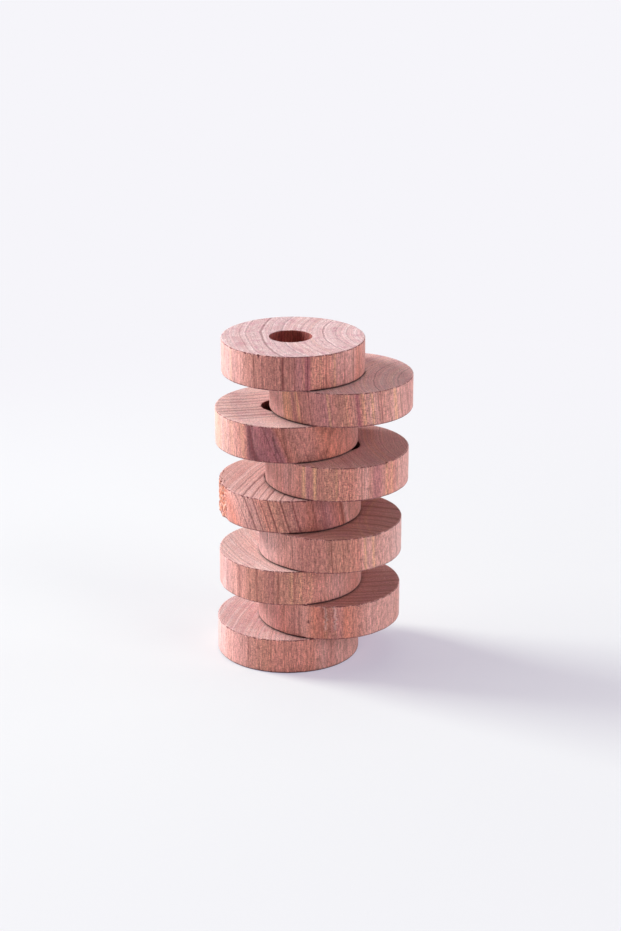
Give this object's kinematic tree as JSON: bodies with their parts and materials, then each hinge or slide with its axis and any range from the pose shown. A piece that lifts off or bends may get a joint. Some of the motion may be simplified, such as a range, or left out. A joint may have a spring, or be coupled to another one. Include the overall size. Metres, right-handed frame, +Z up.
{
  "type": "cedar hanger ring stack",
  "caption": "Stack of loose cedar wood rings, each bored through the middle to slip over a clothes hanger's hook and keep moths away.",
  "frame": {"origin": "on the bottom ring's bore axis, level with the underside that the stack stands on", "axes": "+Z up through the stack, +X to the right and +Y away from the viewer in the picture"},
  "size_m": [0.0621, 0.0538, 0.101],
  "materials": {
    "cedar": "sawn and lightly sanded, bare"
  },
  "bodies": {
    "ring_1": {"ring_1": "cedar"},
    "ring_2": {"ring_2": "cedar"},
    "ring_3": {"ring_3": "cedar"},
    "ring_4": {"ring_4": "cedar"},
    "ring_5": {"ring_5": "cedar"},
    "ring_6": {"ring_6": "cedar"},
    "ring_7": {"ring_7": "cedar"},
    "ring_8": {"ring_8": "cedar"},
    "ring_9": {"ring_9": "cedar"}
  },
  "joints": [
    {"name": "ring_2_lift", "type": "slide", "parent": "ring_1", "child": "ring_2", "axis": [0, 0, 1], "range_m": [0, 0.05]},
    {"name": "ring_3_lift", "type": "slide", "parent": "ring_2", "child": "ring_3", "axis": [0, 0, 1], "range_m": [0, 0.05]},
    {"name": "ring_4_lift", "type": "slide", "parent": "ring_3", "child": "ring_4", "axis": [0, 0, 1], "range_m": [0, 0.05]},
    {"name": "ring_5_lift", "type": "slide", "parent": "ring_4", "child": "ring_5", "axis": [0, 0, 1], "range_m": [0, 0.05]},
    {"name": "ring_6_lift", "type": "slide", "parent": "ring_5", "child": "ring_6", "axis": [0, 0, 1], "range_m": [0, 0.05]},
    {"name": "ring_7_lift", "type": "slide", "parent": "ring_6", "child": "ring_7", "axis": [0, 0, 1], "range_m": [0, 0.05]},
    {"name": "ring_8_lift", "type": "slide", "parent": "ring_7", "child": "ring_8", "axis": [0, 0, 1], "range_m": [0, 0.05]},
    {"name": "ring_9_lift", "type": "slide", "parent": "ring_8", "child": "ring_9", "axis": [0, 0, 1], "range_m": [0, 0.05]}
  ]
}
